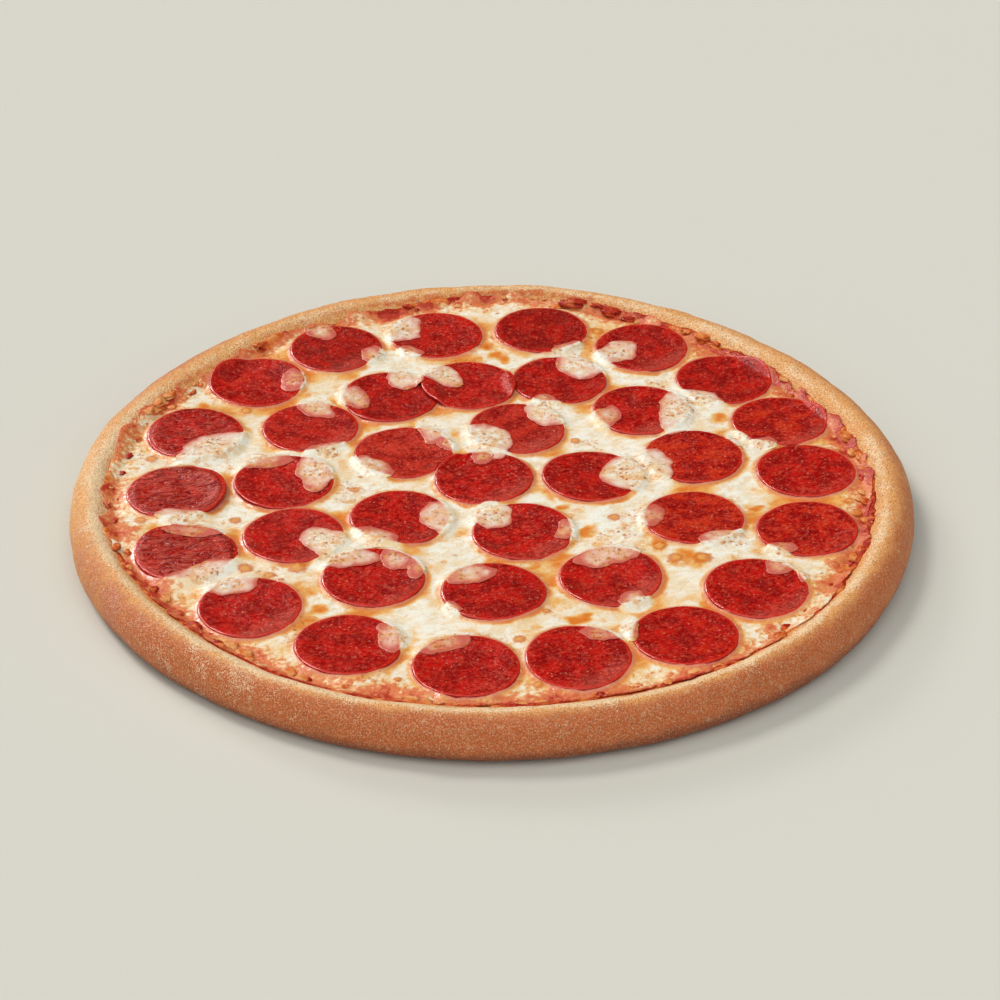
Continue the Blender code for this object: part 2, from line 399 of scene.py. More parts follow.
def crustMaterial():
    material, shader, place = newMaterial("bakedDough", **{"Specular IOR Level": 0.2})
    baked, dark, pale, rosy, stain = layers(place, "baked", "dark", "pale", "rosy", "stain")
    cloudy = noise(place, 14 * mm, 3)
    patchy = noise(place, 3.6 * mm, 3)
    grain = noise(place, 0.65 * mm, 2, 0.65)
    uneven = 0.9 * (cloudy - 0.5) + 0.6 * (patchy - 0.5) + 1.2 * (grain - 0.5)
    freckles = dots(place, 1.2 * mm, 0.1, 0.45, 0.3, 0.75)
    grains = dots(place, 0.8 * mm, 0.15, 0.55, 0.2, 0.7)
    blisters = dots(place, 4.2 * mm, 0.1, 0.32, 0.7, 0.85)
    hollows = between(1 - grain, 0.46, 0.66)
    # baked, dark and pale hold painted light and shade as well as the crust's own browning
    colour = painted(
        crust, "golden",
        (between(baked + uneven, 0.1, 0.9), "brown"),
        (between(rosy + uneven, 0.2, 0.9), "rosy"),
        (between(dark + 0.8 * uneven, 0.15, 1.0), "dark"),
        (between(pale + 1.1 * uneven, 0.25, 0.8) * 0.9, "cream"),
        (between(stain + 1.5 * (patchy - 0.5) + 0.6 * (grain - 0.5), 0.35, 0.75) * 0.9, "stained"),
        (grains * 0.35, "cream"),
        (freckles * 0.25, "cream"),
        (between(grain, 0.5, 0.7) * 0.3, "cream"),
        (blisters * 0.35, "cream"),
        (hollows * 0.5, "brown"),
        (hollows * (0.4 - 0.34 * between(pale, 0.1, 0.7)), "dark"))
    relief = bump(0.5 * grain + 0.5 * grains + 0.4 * blisters, 0.5 * mm)
    relief = bump(patchy, 0.5 * mm, relief)
    relief = bump(noise(place, 1.6 * mm, 3, 0.6) * (0.3 + 0.7 * between(pale, 0.1, 0.6)), 0.35 * mm, relief)
    feed(shader, colour=colour, roughness=0.55 + 0.4 * (grain - 0.5), normal=relief)
    return material


def makeCrust():
    hollow = form["hollowRadius"]
    side = arcPoints(form["restRadius"], form["widestHeight"], form["radius"] - form["restRadius"],
                     form["widestHeight"], -90, 0, crust["sideSteps"])
    shoulder = arcPoints(form["crestRadius"], form["widestHeight"], form["radius"] - form["crestRadius"],
                         form["rimHeight"] - form["widestHeight"], 0, 90, crust["shoulderSteps"])
    radii = np.linspace(form["crestRadius"], hollow, crust["slopeSteps"] + 1)[1:]
    slope = [(radius, float(doughTop(radius))) for radius in radii]
    floor = [(share * hollow, form["doughHeight"]) for share in (0.8, 0.4)]
    piece = turnedPiece("bakedCrust", side + shoulder[1:] + slope + floor, crust["segments"])
    turned = pointsOf(piece)
    putPoints(piece, bake(turned))
    places, outwards = pointsOf(piece), normalsOf(piece)
    x, y, z = places.T
    across, along = x + 1.7 * z, y - 2.3 * z
    lift = crust["swelling"] * layeredNoise(across, along, crust["swellingSize"], 3)
    lift += crust["lumps"] * layeredNoise(across, along, crust["lumpSize"], 8)
    lift *= smoothStep(z / (3 * mm)) * smoothStep((np.hypot(*turned.T[:2]) - 150 * mm) / (8 * mm))
    putPoints(piece, places + outwards * lift[:, None])

    bearing = np.arctan2(y, x)
    turnedOut = np.hypot(*turned.T[:2])
    outer = smoothStep((turnedOut - 167 * mm) / (8 * mm))
    low = 1 - smoothStep((z - 1 * mm) / (12 * mm))
    front = hill(bearing, 275, 75)
    left = hill(bearing, 176, 22)
    crest = np.exp(-((turnedOut - 165.5 * mm) / (3.2 * mm)) ** 2)
    soaked = np.exp(-((turnedOut - 163 * mm) / (3 * mm)) ** 2)
    # Partly the crust's own uneven browning, partly painted light and shade. The crust is painted darker
    # towards the bottom as painted shade near the floor. The front, which faces away from the lamps at the
    # back left, is painted browner and darker. The crest, the left and the back, which face those lamps, are
    # painted paler.
    paintPoints(
        piece,
        baked=0.18 + outer * (0.4 + 0.5 * front - 0.6 * left + 0.3 * hill(bearing, 150, 20))
        - 0.22 * hill(bearing, 70, 65),
        dark=0.35 * low + outer * (0.6 * low * (0.3 + front) + 0.25 * hill(bearing, 305, 28)),
        pale=0.5 * left + crest * (0.35 + 0.5 * front)
        + 0.25 * hill(bearing, 75, 50) + 0.25 * hill(bearing, 235, 16),
        rosy=0.5 * hill(bearing, 207, 18) * outer,
        stain=soaked * (0.25 + 0.45 * hill(bearing, 92, 26) + 0.25 * hill(bearing, 150, 18)),
    )
    finishPiece(piece, crustMaterial(), "crust", "crust")


# Sauce

sauce = {
    "segments": 900,
    "from": 142 * mm,
    "to": 161.5 * mm,
    "step": 0.75 * mm,
    "raggedness": 2.2 * mm,
    "chunks": 0.8 * mm,
    "chunkSize": 3.6 * mm,
    "red": srgb(204, 54, 18),
    "deep": srgb(162, 22, 6),
    "orange": srgb(230, 120, 46),
    "pale": srgb(242, 180, 112),
}


def sauceMaterial():
    material, shader, place = newMaterial("cookedSauce", **{
        "Specular IOR Level": 0.2, "Coat Weight": 0.1, "Coat Roughness": 0.08})
    tone, = layers(place, "tone")
    broad = noise(place, 11 * mm, 2)
    middling = noise(place, 3.5 * mm, 3)
    fine = noise(place, 1.2 * mm, 3, 0.65)
    warmer = tone + 1.2 * (broad - 0.5) + 0.9 * (middling - 0.5) + 0.5 * (fine - 0.5)
    paler = 0.8 * tone + 1.1 * (middling - 0.5) + 0.6 * (fine - 0.5) + 0.6 * (broad - 0.5)
    colour = painted(
        sauce, "deep",
        (between(fine + 0.8 * (middling - 0.5), 0.4, 0.66), "red"),
        (between(warmer, 0.22, 0.62) * 0.9, "orange"),
        (between(paler, 0.4, 0.75) * 0.75, "pale"))
    relief = bump(fine, 0.5 * mm)
    feed(shader, colour=colour, roughness=0.3 + 0.3 * between(fine, 0.4, 0.8), normal=relief)
    return material


def makeSauce(material):
    edge = sauce["to"]
    footing = (148 * mm, 152 * mm, 156 * mm, edge)
    section = [(radius, float(doughTop(radius)) + form["gap"]) for radius in footing]
    section.append((edge, float(doughTop(edge)) + form["gap"] + 0.25 * mm))
    radii = np.arange(edge, sauce["from"], -sauce["step"])
    section += [(radius, float(sauceTop(radius))) for radius in radii[1:]]
    section += [(share * sauce["from"], form["sauceHeight"]) for share in (0.9, 0.4)]
    piece = turnedPiece("sauceLayer", section, sauce["segments"])
    x, y, z = pointsOf(piece).T
    bearing, turned = np.arctan2(y, x), np.hypot(x, y)
    isTop = z > doughTop(turned) + form["gap"] + 0.1 * mm
    edgeX, edgeY = edge * np.cos(bearing), edge * np.sin(bearing)
    ragged = layeredNoise(edgeX, edgeY, 16 * mm, 21) + 0.4 * layeredNoise(edgeX, edgeY, 5 * mm, 25)
    moved = turned + sauce["raggedness"] * ragged * smoothStep((turned - 149 * mm) / (12.5 * mm))
    x, y = moved * np.cos(bearing), moved * np.sin(bearing)
    chunk = np.maximum(softNoise(x, y, sauce["chunkSize"], 31) - 0.3, 0) ** 1.2
    chunk = chunk + 0.35 * softNoise(x, y, 1.6 * mm, 33)
    fade = smoothStep((edge + 0.2 * mm - turned) / (2.2 * mm)) * smoothStep((turned - 140 * mm) / (6 * mm))
    dip = form["sauceEdge"] + form["gap"] + 0.1 * mm  # the outer edge goes just into the crust
    lifted = sauceTop(moved) - (1 - fade) * dip + sauce["chunks"] * chunk * fade
    height = np.where(isTop, lifted, doughTop(moved) - 0.3 * mm)
    putPoints(piece, bake(np.column_stack((x, y, height))))
    paintPoints(piece, tone=np.where(isTop, 0.25 + 0.4 * chunk + 0.35 * hill(bearing, 176, 24), 0.1))
    finishPiece(piece, material, "sauce", "sauce")


lumpForm = {"scattered": 110, "smallest": 0.5 * mm, "largest": 2.2 * mm, "height": 0.4, "dents": 0.6}
lumps = (  # bearing in degrees, distance and radius in millimetres, tone from red 0 to orange 1
    (77, 164, 3.2, 0.2), (73, 164, 2.0, 0.3), (70, 161, 3.4, 0.15), (67, 159, 2.4, 0.3),
    (65, 158, 1.4, 0.9), (53, 159, 2.6, 0.4), (56, 159, 1.8, 0.6), (50, 158, 1.6, 0.3),
    (14, 158, 2.8, 0.5), (10, 157, 1.8, 0.7), (8, 159, 2.3, 0.6), (2, 157, 1.5, 0.1),
    (358, 156, 1.7, 1.0), (356, 154, 1.7, 1.1), (352, 153, 1.9, 0.7), (347, 156, 1.4, 0.3),
    (339, 158, 2.2, 0.6), (336, 157, 2.0, 0.5), (234, 160, 1.8, 0.8), (232, 158, 2.6, 0.8),
    (229.5, 157, 2.9, 0.9), (226.5, 156, 2.2, 0.8), (222, 158, 2.2, 0.1), (218, 157, 1.6, 0.3),
    (213, 156, 1.8, 0.7), (210, 158, 1.6, 0.6), (159, 161, 2.3, 0.7), (156, 161, 2.3, 0.8),
    (153, 160, 1.9, 0.8), (166, 158, 1.9, 0.4), (171, 158, 1.9, 0.2), (176, 158, 1.4, 0.1),
    (190, 159, 1.6, 0.3), (243, 158, 1.5, 0.3), (249, 157, 1.4, 0.6), (259, 157, 1.9, 0.9),
    (261, 158, 1.3, 0.5), (277, 156, 1.3, 0.7), (290, 157, 1.6, 0.5), (303, 157, 1.4, 0.6),
    (318, 157, 1.7, 0.4), (120, 159, 1.9, 0.4), (132, 159, 1.7, 0.5), (139, 158, 2.0, 0.2),
    (104, 161, 1.8, 0.3),
)


def makeLumps(material):  # chunks of tomato and browned cheese between the cheese's edge and the rim
    startFresh()
    bpy.ops.mesh.primitive_ico_sphere_add(subdivisions=3, radius=1, location=(0, 0, 0))
    master = bpy.context.object
    ball = pointsOf(master)
    chance = np.random.default_rng(17)
    places = [(radians(bearing), distance * mm, radius * mm, tone)
              for bearing, distance, radius, tone in lumps]
    for _ in range(lumpForm["scattered"]):
        bearing = chance.uniform(0, 2 * pi)
        distance = footAt(bearing) - chance.uniform(0.5, 6) * mm
        radius = lumpForm["smallest"] + (lumpForm["largest"] - lumpForm["smallest"]) * chance.random() ** 2
        places.append((bearing, distance, radius, chance.uniform(0.3, 1)))
    pieces = []
    for number, (bearing, distance, radius, tone) in enumerate(places):
        middleX, middleY = distance * cos(bearing), distance * sin(bearing)
        if min(float(disc.away(middleX, middleY)) for disc in slices) < radius:
            continue
        turned = float(turnedRadius(distance, bearing))
        if turned < cheeseEdgeAt(bearing):
            level = float(cheeseTopAt(middleX, middleY))
        else:
            level = float(bakedHeight(sauceTop(turned), bearing))
        dents = layeredNoise(ball[:, 0] + 5 * number, ball[:, 1] + 2 * ball[:, 2], 1.1, 91)
        along, outwards, up = (ball * (1 + lumpForm["dents"] * dents)[:, None] * radius).T
        along = along * (1.1 + 0.5 * chance.random())
        x = middleX + outwards * cos(bearing) - along * sin(bearing)
        y = middleY + outwards * sin(bearing) + along * cos(bearing)
        piece = copyOf(master, "lump")
        putPoints(piece, np.column_stack((x, y, level + lumpForm["height"] * (up + 0.25 * radius))))
        paintPoints(piece, tone=tone)
        pieces.append(piece)
    finishPiece(joined(pieces, "sauceLumps"), material, "sauce")
    bpy.data.objects.remove(master)


# Slices of pepperoni

sliceForm = {
    "radius": 21.2 * mm,
    "thickness": 1.5 * mm,
    "segments": 120,
    "rings": 22,
    "reach": 4 * mm,  # over which a slice comes down off the one below it
    "unevenness": 0.022,
    "dish": 0.55 * mm,
    "shineSide": -50,  # the bearing towards which a slice gets its painted sheen, in degrees
    "red": srgb(206, 18, 8),
    "deep": srgb(154, 2, 2),
    "deepest": srgb(104, 0, 0),
    "orange": srgb(218, 66, 22),
    "pinkish": srgb(216, 78, 54),
    "paintedSheen": srgb(206, 92, 76),
    "fatAndSparkle": srgb(244, 160, 130),
    "rimHighlight": srgb(232, 52, 26),
    "wall": srgb(156, 4, 6),
}
curls = {  # the bearing of the lifted side in degrees, and how high it stands
    "outer_09": (300, 1.2 * mm),
    "outer_10": (8, 2.6 * mm),
    "outer_11": (150, 1.6 * mm),
    "middle_06": (200, 1.2 * mm),
}
creased = {"outer_09": 0.5, "outer_10": 0.9, "outer_11": 1.0}
warm = {"outer_02": 0.5, "outer_16": 0.35, "outer_18": 0.5, "middle_01": 0.55, "middle_11": 0.6}
pinkish = {"outer_10": 0.3, "outer_11": 0.4, "middle_05": 0.2, "inner_02": 0.7, "inner_03": 0.9}
dusky = {"outer_03": 0.5, "outer_04": 0.4, "outer_05": 0.9, "outer_07": 1.0,
         "middle_04": 0.5, "middle_09": 0.3, "inner_01": 0.3}
order = ["%s_%02d" % (ring, i + 1)  # in which they were laid, each on those before it
         for ring, count in (("outer", 18), ("inner", 5), ("middle", 12)) for i in range(count)]
order.append("centre")


class Slice:  # where one slice lies, from the frame
    def __init__(self, name, number):
        node = "pepperoni_" + name
        low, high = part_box(node)
        self.name, self.node = name, node
        self.x, self.y = (low.x + high.x) / 2, (low.y + high.y) / 2
        self.phase = 2.4 * number
        self.below = [other for other in slices
                      if np.hypot(self.x - other.x, self.y - other.y) < 2 * sliceForm["radius"]]

    def edge(self, angle):  # its own slightly uneven outline
        uneven = np.sin(2 * angle + self.phase) + 0.5 * np.sin(3 * angle + 2 * self.phase)
        return sliceForm["radius"] * (1 - sliceForm["unevenness"] * (0.3 + 0.5 * uneven))

    def away(self, x, y):  # how far outside the outline a point is, negative inside
        return np.hypot(x - self.x, y - self.y) - self.edge(np.arctan2(y - self.y, x - self.x))

    def underside(self, x, y):
        ground = layingHeight(x, y)
        highest = ground
        for other in self.below:
            share = 1 - smoothStep((other.away(x, y) - 1 * mm) / sliceForm["reach"])
            highest = np.maximum(highest, ground + share * (other.top(x, y) - ground))
        height = highest + form["gap"]
        if self.name in curls:
            bearing, lifted = curls[self.name]
            along = alongAcross(x - self.x, y - self.y, radians(bearing))[0]
            height = height + lifted * np.maximum(along / sliceForm["radius"], 0) ** 2
        return height

    def top(self, x, y):
        return self.underside(x, y) + sliceForm["thickness"]

    def dished(self, x, y):  # the top with its raised rim and lower middle
        share = 1 + self.away(x, y) / sliceForm["radius"]
        return self.top(x, y) + sliceForm["dish"] * (smoothStep((share - 0.5) / 0.46) - 0.5)


def sliceMaterial():
    material, shader, place = newMaterial("curedSausage", **{
        "Specular IOR Level": 0.22, "Coat Roughness": 0.05})
    rim, wall, warmth, pink = layers(place, "rim", "wall", "warmth", "pinkness")
    creases, sheen, gloss, dusk = layers(place, "creases", "sheen", "gloss", "dusk")
    broad = noise(place, 9 * mm, 2)
    cloud = noise(place, 5 * mm, 2)
    glow = noise(place, 3.4 * mm, 2)
    mottle = noise(place, 2.2 * mm, 3, 0.6)
    grain = noise(stretched(place, 1.8, 33), 0.9 * mm, 3, 0.7)
    bits = noise(stretched(place, 1.6, 33), 1.2 * mm, 3, 0.65)
    folds = noise(stretched(place, 3, 22), 2.2 * mm, 2, 0.5, 1.2)
    # Painted sheen: pinkish haze in random patches and towards each slice's shine side, in place of the lamps'
    # broad reflection
    paintedSheen = between(cloud + 0.4 * (mottle - 0.5), 0.54, 0.74) * 0.2
    paintedSheen = paintedSheen + between(sheen + 1.2 * (mottle - 0.5) + 0.6 * (cloud - 0.5), 0.15, 0.9) * 0.5
    # Light fat flecks, which also serve as painted sparkle in place of glints
    fatFlecksAndSparkles = dots(place, 1.7 * mm, 0.12, 0.36, 0.72, 0.8)
    fatFlecksAndSparkles = fatFlecksAndSparkles + dots(place, 0.8 * mm, 0.15, 0.4, 0.84, 0.9) * 0.8
    colour = painted(
        sliceForm, "deep",
        (between(broad + 0.5 * (mottle - 0.5), 0.36, 0.64), "red"),
        (between(warmth + 1.4 * (broad - 0.5) + 0.9 * (mottle - 0.5), 0.4, 1.0) * 0.75, "orange"),
        (pink * between(broad + 0.5 * (grain - 0.5), 0.25, 0.8) * 0.6, "pinkish"),
        (between(glow + 0.4 * (mottle - 0.5), 0.55, 0.72) * 0.4, "orange"),
        (paintedSheen, "paintedSheen"),
        (between(1 - grain, 0.46, 0.66) * 0.7, "deepest"),
        (between(bits + 0.2 * (mottle - 0.5), 0.5, 0.7) * 0.55, "pinkish"),
        (fatFlecksAndSparkles * 0.4, "fatAndSparkle"),
        # Painted light on the creases: crests painted lighter with the painted sheen, valleys painted darker
        # as painted shade
        (between(folds, 0.42, 0.62) * creases * 0.65, "paintedSheen"),
        (between(1 - folds, 0.54, 0.66) * creases * 0.5, "deepest"),
        (dusk * (0.1 + 0.4 * between(cloud, 0.35, 0.7)), "deepest"),
        (wall * 0.9, "wall"),
        # A painted highlight along the slice's rounded top edge
        (rim * 0.75, "rimHighlight"))
    relief = bump(mottle, 0.3 * mm)
    relief = bump(grain, 0.35 * mm, relief)
    relief = bump(folds * creases, 2.4 * mm, relief)
    dull = 0.16 + 0.14 * between(mottle, 0.35, 0.7)
    feed(shader, colour=colour, roughness=dull, normal=relief, coat=gloss)
    return material


def makeSlices():
    radius, thickness, rings = sliceForm["radius"], sliceForm["thickness"], sliceForm["rings"]
    wall = [(0.975, 0.0), (0.995, 0.18), (1.0, 0.45), (0.998, 0.75), (0.985, 0.92), (0.965, 1.0)]
    section = [(share * radius, level * thickness) for share, level in [(0.9, 0.0)] + wall]
    section += [(0.965 * radius * (1 - i / rings), thickness) for i in range(1, rings)]
    master = turnedPiece("slice", section, sliceForm["segments"])
    shape = pointsOf(master)
    material = sliceMaterial()
    for disc in slices:
        piece = copyOf(master, "slice_" + disc.name)
        x, y, z = shape.T
        angle = np.arctan2(y, x)
        share = np.hypot(x, y) / radius
        out = share * disc.edge(angle)
        x, y = disc.x + out * np.cos(angle), disc.y + out * np.sin(angle)
        crease = creased.get(disc.name, 0.08)
        along, across = alongAcross(x, y, radians(25))
        folds = softNoise(along / 3.5 + 2 * mm * layeredNoise(x, y, 12 * mm, 5), across, 2.3 * mm, 41)
        relief = 0.9 * mm * crease * (folds - 0.5) + 0.16 * mm * layeredNoise(x, y, 5 * mm, 45)
        dish = sliceForm["dish"] * (smoothStep((share - 0.5) / 0.46) - 0.5)
        upper = smoothStep(z / thickness)
        shine = alongAcross(x - disc.x, y - disc.y, radians(sliceForm["shineSide"]))[0]
        putPoints(piece, np.column_stack((x, y, disc.underside(x, y) + z + upper * (relief + dish))))
        rim = smoothStep((share - 0.95) / 0.025) * smoothStep((z / thickness - 0.7) / 0.25)
        paintPoints(
            piece,
            rim=rim,
            gloss=rim * (0.25 + 0.75 * smoothStep(0.5 + 0.7 * np.cos(angle - radians(185)))),
            wall=smoothStep((share - 0.97) / 0.015) * np.where(z > 0, 1, 0),
            warmth=warm.get(disc.name, 0.15),
            pinkness=pinkish.get(disc.name, 0.0),
            dusk=dusky.get(disc.name, 0.0),
            creases=crease * smoothStep((0.95 - share) / 0.1),
            # a painted sheen, stronger towards the shine side
            sheen=smoothStep((shine / radius - 0.15) / 0.8) * (0.5 + 0.5 * sin(disc.phase)),
        )
        finishPiece(piece, material, "pepperoni", disc.node)
    bpy.data.objects.remove(master)


# Molten cheese

patchForm = {"segments": 96, "rings": 14, "thickness": 0.55 * mm, "scallop": 0.09, "lobes": 1.1 * mm,
             "spread": 1.28}
patches = (  # middle x and y, half length and half width in millimetres, turn in degrees
    (-119, 29, 14, 9, 34), (81, 60, 16.5, 6.5, 87), (-2, 35, 13, 8, -79), (24, 60, 9.5, 7.5, -80),
    (62, 11, 13, 12, 60), (-100, 19, 13, 5, 17), (-75, 10, 13, 6, -87), (-117, -68, 13.5, 5.5, 28),
    (47, -55, 11, 5.5, 19), (-42, 136, 11, 7, -88), (-22, -26, 10, 6, -89), (-68, -46, 10, 7.5, -60),
    (56, 114, 9.5, 6.5, 57), (-9, -70, 9, 5, 12), (-19, -118, 9.5, 4.5, 21), (-23, 92, 9, 6.5, -41),
    (39, 100, 9, 7, -33), (0, -25, 8, 7, 70), (-128, -27, 8.5, 6, -20), (96, -43, 8.5, 5.5, 28),
)
scraps = (
    (-71, 27, 7.5, 5, 14), (-77, 64, 7.5, 5.5, -43), (-89, 88, 8, 4, -86), (-78, 131, 6, 5, -51),
    (-54, 109, 6.5, 4.5, -86), (-37, 114, 4.5, 3.5, -23), (-39, 89, 8, 6, -79), (-61, 72, 7.5, 5.5, -69),
    (-26, 44, 8.5, 5, -74), (-19, 33, 5.5, 3.5, -73), (23, 72, 4, 3, -18), (34, 118, 5.5, 3.5, 31),
    (50, 56, 7, 5, 79), (92, 72, 8.5, 6, -24), (106, 37, 5.5, 3.5, -78), (116, 32, 6, 4, 20),
    (66, -26, 6.5, 4.5, -90), (119, -50, 5.5, 3.5, 13), (118, -63, 6, 4.5, 22), (126, -69, 5, 2, 85),
    (31, -36, 6, 3.5, 88), (-48, -42, 9, 5, -29), (-4, 21, 4, 3.5, 0), (-59, -58, 10, 6, 11),
    (-39, -59, 6.5, 4.5, -52), (-31, -65, 6.5, 3, -88), (-15, -94, 3.5, 2.5, -57), (-39, -113, 8, 5, -82),
    (57, -87, 5, 5, 25), (43, -112, 7, 3.5, -17), (55, -108, 7, 3, 88), (-106, -77, 9, 6, 5),
    (-123, -37, 10.5, 3, 0), (-51, 14, 8, 5.5, -48),
)
cheese = {
    "spacing": 0.73 * mm,
    "rise": 0.75 * mm,  # how far it stands up between the slices
    "edgeRadius": 160 * mm,
    "raggedness": 1.2 * mm,
    "fineRaggedness": 3.0 * mm,
    "sideBulge": 2 * mm,
    "fall": 9 * mm,
    "fibres": 0.36 * mm,
    "swells": 0.35 * mm,
    "lip": 0.9 * mm,  # drawn up against a slice's side
    "lipWidth": 1.4 * mm,
    "blisterHeight": 0.5 * mm,
    "straying": 4 * mm,  # of grease from a round pool
    "haloWidth": 2.6 * mm,  # of grease around a slice
    "gapWidth": 10 * mm,  # narrow enough between slices for grease to gather
    "thinWidth": 22 * mm,  # over which the cheese thins towards its edge
    "hiddenDepth": 3 * mm,  # inside a slice's outline
    "cream": srgb(252, 247, 230),
    "milky": srgb(242, 220, 182),
    "butter": srgb(244, 190, 96),
    "oily": srgb(228, 122, 32),
    "toasted": srgb(232, 168, 96),
    "brown": srgb(182, 98, 30),
    "seen": srgb(206, 78, 62),
    "rosy": srgb(224, 116, 66),
    "red": srgb(190, 52, 26),
    "pink": srgb(232, 146, 122),
    "blistered": srgb(214, 116, 34),
    "blisterMiddle": srgb(240, 176, 96),
}
blisters = (  # x, y and radius in millimetres
    (-79, -64, 4.0), (-100, -64, 3.4), (-90, -69, 2.8), (-85, -73, 1.4), (-58, -3, 2.4), (75, -57, 3.6),
    (86, -57, 4.0), (-114, -67, 2.0), (-146, -28, 2.8), (-107, -26, 2.8), (-36, -142, 1.8), (36, 38, 2.4),
    (51, -25, 2.8), (11, -115, 2.8), (22, -95, 1.8), (18, -145, 2.2), (150, -13, 2.4), (48, 135, 3.0),
    (97, 127, 2.6), (-108, 63, 2.5), (-146, 22, 3.0), (69, -48, 3.2),
)
pools = (  # orange grease: x, y and radius in millimetres
    (23, -6, 5), (31, -17, 4.4), (-2, 122, 6.5), (3, 110, 5.5), (99, 57, 7), (-71, -95, 5), (-68, -78, 3),
    (69, -46, 8), (82, -58, 8), (48, 135, 5.5), (-112, 6, 5.5), (-106, -3, 5), (-16, -11, 4.4), (65, 63, 5.4),
    (41, -35, 4.6), (-34, 46, 4.8), (-108, 70, 5), (112, -17, 5), (-60, -100, 4.5), (-46, 60, 5), (88, -20, 5),
    (-135, -35, 6), (-128, 62, 6), (-90, 25, 5), (34, -98, 5), (-118, -82, 5), (130, -30, 5), (20, -143, 5),
)


def coverAt(x, y):  # 1 where a patch of cheese lies, fading just past its edge
    cover = np.zeros(x.shape)
    for middleX, middleY, length, width, turn in patches + scraps:
        along, across = alongAcross(x - middleX * mm, y - middleY * mm, radians(turn))
        spread = patchForm["spread"] * mm
        share = np.hypot(along / (length * spread), across / (width * spread))
        cover = np.maximum(cover, 1 - smoothStep((share - 0.78) / 0.7))
    return cover


def cheeseEdgeAt(bearing):  # turned radius of the ragged edge
    waves = 0.6 * np.sin(5 * bearing + 1) + 0.4 * np.sin(11 * bearing + 2)
    x, y = cheese["edgeRadius"] * np.cos(bearing), cheese["edgeRadius"] * np.sin(bearing)
    fine = layeredNoise(x, y, 7 * mm, 51)
    bulge = cheese["sideBulge"] * hill(bearing, 176, 20)
    return cheese["edgeRadius"] + cheese["raggedness"] * waves + cheese["fineRaggedness"] * fine + bulge


def spots(x, y, places):  # 1 in the middle of each round place, 0 from about its edge on
    shade = np.zeros(x.shape)
    for middleX, middleY, radius in places:
        away = np.hypot(x - middleX * mm, y - middleY * mm) / (radius * mm)
        shade = np.maximum(shade, 1 - smoothStep(away / 1.5))
    return shade


def aroundSlices(x, y):  # how far the two nearest outlines are, and the direction from the nearest's middle
    nearest = np.full(x.shape, 1.0)
    second = np.full(x.shape, 1.0)
    direction = np.zeros(x.shape)
    for disc in slices:
        away = disc.away(x, y)
        closer = away < nearest
        second = np.where(closer, nearest, np.minimum(second, away))
        nearest = np.where(closer, away, nearest)
        direction = np.where(closer, np.arctan2(y - disc.y, x - disc.x), direction)
    return nearest, second, direction


def cheeseTopAt(x, y):
    bearing = np.arctan2(y, x)
    turned = turnedRadius(np.hypot(x, y), bearing)
    along, across = alongAcross(x, y, 0.5)
    bend = 5 * mm * layeredNoise(x, y, 26 * mm, 55)
    fibres = softNoise(along / 3 + bend, across + bend, 2.6 * mm, 57) - 0.5
    fibres = fibres + 0.5 * (softNoise(along / 2 - bend, across + bend, 1.5 * mm, 58) - 0.5)
    top = layingHeight(x, y) + cheese["rise"] + cheese["fibres"] * fibres
    top = top + cheese["swells"] * layeredNoise(x, y, 11 * mm, 61)
    share = np.clip((turned - cheeseEdgeAt(bearing) + cheese["fall"]) / cheese["fall"], 0, 1)
    onSauce = bakedHeight(sauceTop(turned), bearing) + 0.5 * mm
    return top + share ** 2.5 * (np.minimum(onSauce, top) - top)


def drapedTop(x, y):  # the cheese's height where it climbs onto the slices, and how far off the nearest is
    bed = cheeseTopAt(x, y)
    ground = bed
    nearest = np.full(x.shape, 1.0)
    for disc in slices:
        away = disc.away(x, y)
        covered = smoothStep((4.4 * mm - away) / (4.8 * mm))
        ground = np.maximum(ground, bed + covered * (disc.dished(x, y) + 0.12 * mm - bed))
        nearest = np.minimum(nearest, away)
    return ground, nearest


def cheeseTones(x, y):  # what the cheese is like at each place, on the sheet and on the patches alike
    bearing = np.arctan2(y, x)
    nearest, second, direction = aroundSlices(x, y)
    nearest, second = np.maximum(nearest, 0), np.maximum(second, 0)
    aside = cheese["straying"] * layeredNoise(x, y, 9 * mm, 72)
    beyond = cheese["straying"] * layeredNoise(x, y, 9 * mm, 74)
    bare = 1 - 0.9 * coverAt(x, y)
    lowerRight = 0.5 + 0.5 * np.cos(direction - radians(300))
    halo = np.exp(-(nearest / cheese["haloWidth"]) ** 2) * (0.45 + 0.55 * lowerRight)
    halo = halo * (0.4 + 1.1 * softNoise(x, y, 8 * mm, 71))
    gaps = np.exp(-(nearest + second) / cheese["gapWidth"])
    narrow = 1.65 * gaps * smoothStep((softNoise(x, y, 11 * mm, 73) - 0.23) / 0.5)
    pooled = (0.55 + 0.9 * softNoise(x, y, 4 * mm, 79)) * spots(x + aside, y + beyond, pools)
    fromEdge = cheeseEdgeAt(bearing) - turnedRadius(np.hypot(x, y), bearing)
    edgeShare = np.clip(1 - fromEdge / cheese["thinWidth"], 0, 1)
    patchy = 0.15 + 1.0 * softNoise(x, y, 14 * mm, 75) + 0.6 * softNoise(x, y, 6 * mm, 76)
    browned = np.zeros(x.shape)
    for middleX, middleY, length, width, _ in patches + scraps:
        size = (0.35 * length + 0.65 * width) * mm
        away = np.hypot(x - middleX * mm, y - middleY * mm) / size
        browned = np.maximum(browned, 1 - smoothStep((away - 0.5) / 1.1))
    return {
        "grease": bare * np.maximum(np.maximum(halo, narrow), pooled),
        "thin": edgeShare ** 1.5 * (patchy + 0.45 * hill(bearing, 18, 34)),
        "brown": np.maximum(browned, 0.7 * smoothStep((softNoise(x, y, 15 * mm, 77) - 0.55) / 0.25)),
        "blister": spots(x, y, blisters),
    }


